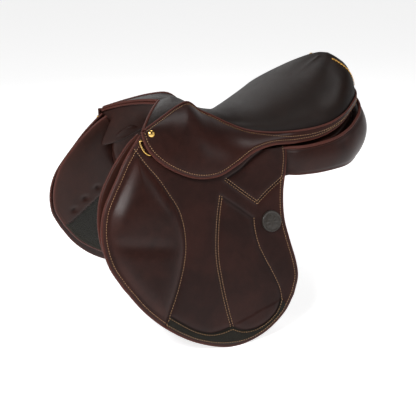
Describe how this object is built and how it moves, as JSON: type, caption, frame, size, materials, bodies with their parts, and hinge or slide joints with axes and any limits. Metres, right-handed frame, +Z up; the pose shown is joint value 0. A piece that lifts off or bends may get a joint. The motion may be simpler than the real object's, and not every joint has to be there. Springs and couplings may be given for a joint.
{
  "type": "english saddle",
  "caption": "English jumping saddle on a sprung tree: deep seat, lifting skirts and flaps, knee pads, stuffed panels with a spine channel, stirrup bars and girth straps.",
  "frame": {"origin": "on the mid-plane, at the ceiling of the spine channel below the lowest part of the seat", "axes": "+Z up, +Y from the pommel to the cantle, +X towards the near (left) side"},
  "size_m": [0.4164, 0.5515, 0.4346],
  "materials": {
    "flap_leather": "dark chocolate calf, soft semi-gloss",
    "seat_leather": "nearly black brown grained calf, soft sheen",
    "panel_leather": "smooth reddish brown calf",
    "piping_leather": "reddish brown rolled piping",
    "strap_leather": "oiled strap leather",
    "grip_rubber": "dark green grey textured grip leather",
    "badge_plastic": "dark moulded badge, satin",
    "beech": "laminated beech, sealed",
    "foam": "open cell seat foam",
    "webbing": "woven webbing",
    "brass": "polished brass",
    "steel": "brushed stainless steel"
  },
  "bodies": {
    "root": {"tree": "beech", "head_plate": "steel", "cantle_plate": "steel", "cross_web": "webbing", "seat_foam": "foam", "seat_cover": "seat_leather", "gullet_lining": "panel_leather", "panel_front_bridge": "panel_leather", "panel_rear_bridge": "flap_leather", "seat_web_near": "webbing", "seat_web_off": "webbing", "seat_piping_near": "piping_leather", "seat_piping_off": "piping_leather", "skirt_band_near": "flap_leather", "skirt_band_off": "flap_leather", "flap_top_near": "flap_leather", "flap_top_off": "flap_leather", "sweat_flap_near": "panel_leather", "sweat_flap_off": "panel_leather", "thigh_block_near": "panel_leather", "thigh_block_off": "panel_leather", "girth_web_near": "webbing", "girth_web_off": "webbing", "panel_near": "panel_leather", "panel_off": "panel_leather", "rear_gusset_near": "flap_leather", "rear_gusset_off": "flap_leather", "panel_piping_near": "piping_leather", "panel_piping_off": "piping_leather", "stirrup_bar_near": "steel", "stirrup_bar_off": "steel", "catch_pin_near": "steel", "catch_pin_off": "steel", "saddle_nail_near": "brass", "saddle_nail_off": "brass", "dee_chape_near": "strap_leather", "dee_chape_off": "strap_leather"},
    "skirt_near": {"skirt_near": "flap_leather"},
    "flap_near": {"flap_near": "flap_leather", "knee_pad_near": "flap_leather", "grip_strip_near": "grip_rubber", "badge_near": "badge_plastic"},
    "bar_catch_near": {"bar_catch_near": "steel"},
    "dee_ring_near": {"dee_ring_near": "brass"},
    "girth_strap_front_near": {"girth_strap_front_near": "strap_leather"},
    "girth_strap_middle_near": {"girth_strap_middle_near": "strap_leather"},
    "girth_strap_rear_near": {"girth_strap_rear_near": "strap_leather"},
    "skirt_off": {"skirt_off": "flap_leather"},
    "flap_off": {"flap_off": "flap_leather", "knee_pad_off": "flap_leather", "grip_strip_off": "grip_rubber", "badge_off": "badge_plastic"},
    "bar_catch_off": {"bar_catch_off": "steel"},
    "dee_ring_off": {"dee_ring_off": "brass"},
    "girth_strap_front_off": {"girth_strap_front_off": "strap_leather"},
    "girth_strap_middle_off": {"girth_strap_middle_off": "strap_leather"},
    "girth_strap_rear_off": {"girth_strap_rear_off": "strap_leather"}
  },
  "joints": [
    {"name": "skirt_lift_near", "type": "hinge", "parent": "root", "child": "skirt_near", "pos_m": [0.107, -0.078, 0.0525], "axis": [-0.1346, -0.9758, 0.1724], "range_deg": [0, 80]},
    {"name": "flap_lift_near", "type": "hinge", "parent": "root", "child": "flap_near", "pos_m": [0.11972, -0.098, -0.015], "axis": [-0.0829, -0.9966, 0], "range_deg": [0, 75]},
    {"name": "bar_catch_flip_near", "type": "hinge", "parent": "root", "child": "bar_catch_near", "pos_m": [0.103, -0.046, 0.0345], "axis": [1, 0, 0], "range_deg": [0, 50]},
    {"name": "dee_ring_swing_near", "type": "hinge", "parent": "root", "child": "dee_ring_near", "pos_m": [0.08972, -0.18, 0.06], "axis": [0, -1, 0], "range_deg": [0, 3]},
    {"name": "girth_strap_front_swing_near", "type": "hinge", "parent": "root", "child": "girth_strap_front_near", "pos_m": [0.10366, -0.098, 0.004], "axis": [0.9334, -0.0747, 0.3511], "range_deg": [-3, 3]},
    {"name": "girth_strap_middle_swing_near", "type": "hinge", "parent": "root", "child": "girth_strap_middle_near", "pos_m": [0.1067, -0.06, 0.004], "axis": [0.9314, -0.0745, 0.3563], "range_deg": [-3, 3]},
    {"name": "girth_strap_rear_swing_near", "type": "hinge", "parent": "root", "child": "girth_strap_rear_near", "pos_m": [0.10974, -0.022, 0.004], "axis": [0.9294, -0.0744, 0.3614], "range_deg": [-3, 3]},
    {"name": "skirt_lift_off", "type": "hinge", "parent": "root", "child": "skirt_off", "pos_m": [-0.107, -0.078, 0.0525], "axis": [-0.1346, 0.9758, -0.1724], "range_deg": [0, 80]},
    {"name": "flap_lift_off", "type": "hinge", "parent": "root", "child": "flap_off", "pos_m": [-0.11972, -0.098, -0.015], "axis": [-0.0829, 0.9966, 0], "range_deg": [0, 75]},
    {"name": "bar_catch_flip_off", "type": "hinge", "parent": "root", "child": "bar_catch_off", "pos_m": [-0.103, -0.046, 0.0345], "axis": [1, 0, 0], "range_deg": [0, 50]},
    {"name": "dee_ring_swing_off", "type": "hinge", "parent": "root", "child": "dee_ring_off", "pos_m": [-0.08972, -0.18, 0.06], "axis": [0, 1, 0], "range_deg": [0, 3]},
    {"name": "girth_strap_front_swing_off", "type": "hinge", "parent": "root", "child": "girth_strap_front_off", "pos_m": [-0.10366, -0.098, 0.004], "axis": [-0.9334, -0.0747, 0.3511], "range_deg": [-3, 3]},
    {"name": "girth_strap_middle_swing_off", "type": "hinge", "parent": "root", "child": "girth_strap_middle_off", "pos_m": [-0.1067, -0.06, 0.004], "axis": [-0.9314, -0.0745, 0.3563], "range_deg": [-3, 3]},
    {"name": "girth_strap_rear_swing_off", "type": "hinge", "parent": "root", "child": "girth_strap_rear_off", "pos_m": [-0.10974, -0.022, 0.004], "axis": [-0.9294, -0.0744, 0.3614], "range_deg": [-3, 3]}
  ]
}
